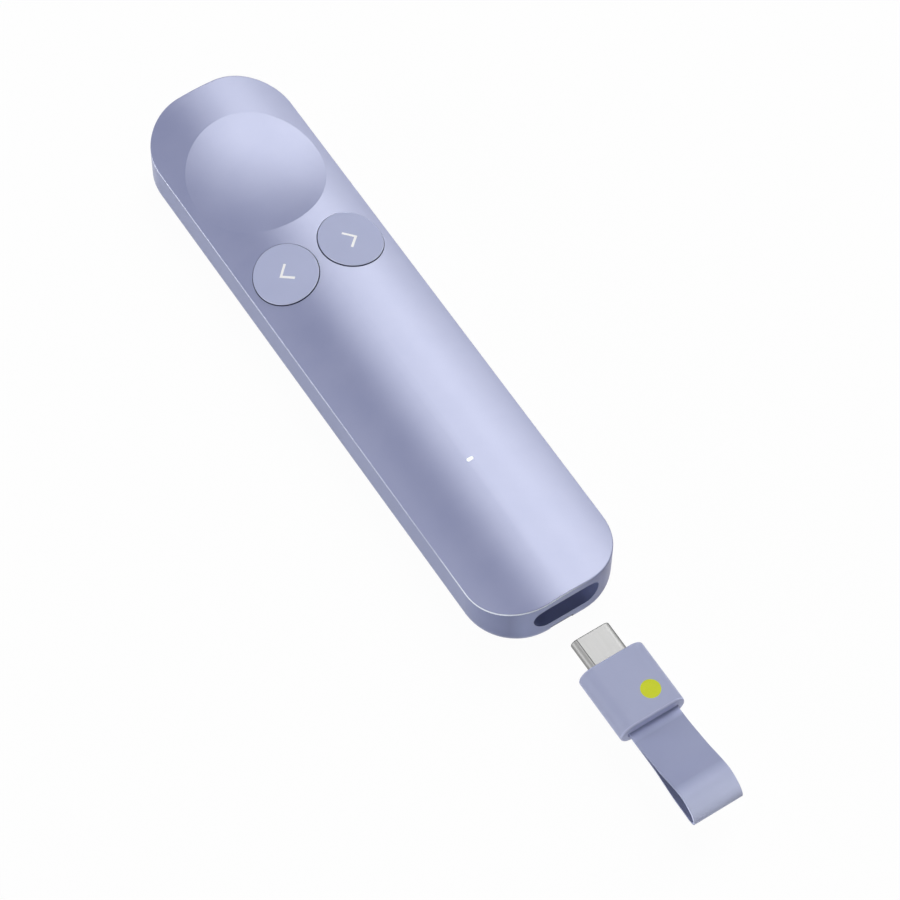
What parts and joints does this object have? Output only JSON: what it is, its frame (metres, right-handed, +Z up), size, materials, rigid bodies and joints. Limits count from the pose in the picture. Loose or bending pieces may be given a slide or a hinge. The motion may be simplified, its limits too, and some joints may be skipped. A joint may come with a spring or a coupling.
{
  "type": "wireless presentation clicker",
  "caption": "Slim domed handheld clicker with a round thumb dish, two round arrow keys, a status light and a plug-in receiver on a strap loop that docks in its end.",
  "frame": {"origin": "middle of the base, on the plane the clicker lies on", "axes": "+Z up, +Y along the clicker towards its pointing end, +X to the right when it points away"},
  "size_m": [0.03, 0.1778, 0.0138],
  "materials": {
    "cover_plastic": "fine satin, moulded lavender",
    "wall_plastic": "fine satin, moulded lavender",
    "key_plastic": "matte, finely textured",
    "arrow_plastic": "second shot of white plastic",
    "light_plastic": "clear, lit white",
    "housing_plastic": "soft matte lavender",
    "strap_rubber": "matte elastomer tape",
    "lime_mark": "lime inlay",
    "plug_steel": "satin nickel",
    "socket_steel": "satin",
    "insert_plastic": "glass-filled black",
    "contact_gold": "gold flash",
    "liner_plastic": "matte, darker lavender",
    "board": "green solder mask",
    "chip_black": "moulded black",
    "can_steel": "tinned sheet",
    "cell_foil": "laminate pouch",
    "foam": "adhesive foam",
    "wire_jacket": "wire jacket",
    "cable_film": "amber film",
    "screw_steel": "black oxide",
    "sheet_steel": "stamped sheet",
    "sensor_film": "sensor laminate",
    "pad_rubber": "matte elastomer",
    "connector_plastic": "natural nylon"
  },
  "bodies": {
    "casing": {"antenna": "connector_plastic", "back_switch": "chip_black", "base_pad": "pad_rubber", "battery_cell": "cell_foil", "battery_connector": "connector_plastic", "battery_pad": "foam", "battery_wires": "wire_jacket", "board_cable": "cable_film", "board_screws": "screw_steel", "case_screws": "screw_steel", "charger_chip": "chip_black", "dock_sleeve": "liner_plastic", "force_sensor": "sensor_film", "haptic_actuator": "sheet_steel", "haptic_ring": "foam", "key_board": "board", "light_pipe": "light_plastic", "lower_shell": "wall_plastic", "main_board": "board", "next_switch": "chip_black", "radio_chip": "chip_black", "sensor_bridge": "sheet_steel", "sensor_cable": "cable_film", "shield_can": "can_steel", "socket_shell": "socket_steel", "socket_tongue": "insert_plastic", "status_led": "light_plastic", "upper_shell": "cover_plastic"},
    "back_key": {"back_key": "key_plastic", "back_arrow": "arrow_plastic", "back_switch_button": "connector_plastic"},
    "next_key": {"next_key": "key_plastic", "next_arrow": "arrow_plastic", "next_switch_button": "connector_plastic"},
    "receiver": {"receiver_housing": "housing_plastic", "receiver_nose": "housing_plastic", "plug_shell": "plug_steel", "plug_insert": "insert_plastic", "plug_contacts": "contact_gold", "receiver_board": "board", "receiver_chip": "chip_black", "receiver_mark": "lime_mark", "strap_pin": "screw_steel", "strap_loop": "strap_rubber"}
  },
  "joints": [
    {"name": "back_press", "type": "slide", "parent": "casing", "child": "back_key", "axis": [0.2006, 0, -0.9797], "range_m": [0, 0.0003], "stiffness_N_per_m": 3000},
    {"name": "next_press", "type": "slide", "parent": "casing", "child": "next_key", "axis": [-0.2006, 0, -0.9797], "range_m": [0, 0.0003], "stiffness_N_per_m": 3000},
    {"name": "receiver_slide", "type": "slide", "parent": "casing", "child": "receiver", "axis": [0, 1, 0], "range_m": [0, 0.02765]}
  ]
}
